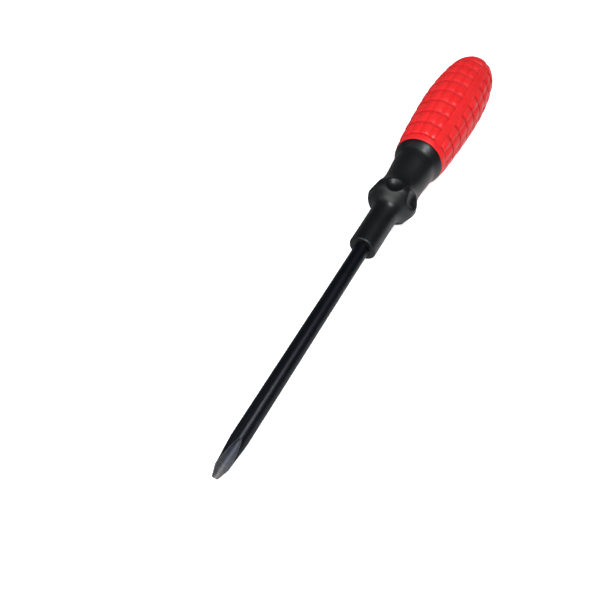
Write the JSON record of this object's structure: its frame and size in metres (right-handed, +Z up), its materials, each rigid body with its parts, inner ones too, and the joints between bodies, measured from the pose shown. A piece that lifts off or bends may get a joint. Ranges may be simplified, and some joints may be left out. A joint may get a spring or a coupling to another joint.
{
  "type": "screwdriver",
  "caption": "Fixed-blade cross-point screwdriver with a round black shank, a hard core with a lobed roll-stop collar, and a soft pillow-textured grip sleeve.",
  "frame": {"origin": "the end of the cross point, on the tool's axis", "axes": "+X runs along the tool's axis from the tip to the butt; +Z is up with the tool laid on its side"},
  "size_m": [0.2363, 0.0294, 0.0294],
  "materials": {
    "black_oxide_steel": "black oxide, satin",
    "black_hard_plastic": "satin moulded",
    "red_soft_grip": "satin soft thermoplastic"
  },
  "bodies": {
    "root": {"blade": "black_oxide_steel", "handle_core": "black_hard_plastic", "soft_grip": "red_soft_grip"}
  },
  "joints": []
}
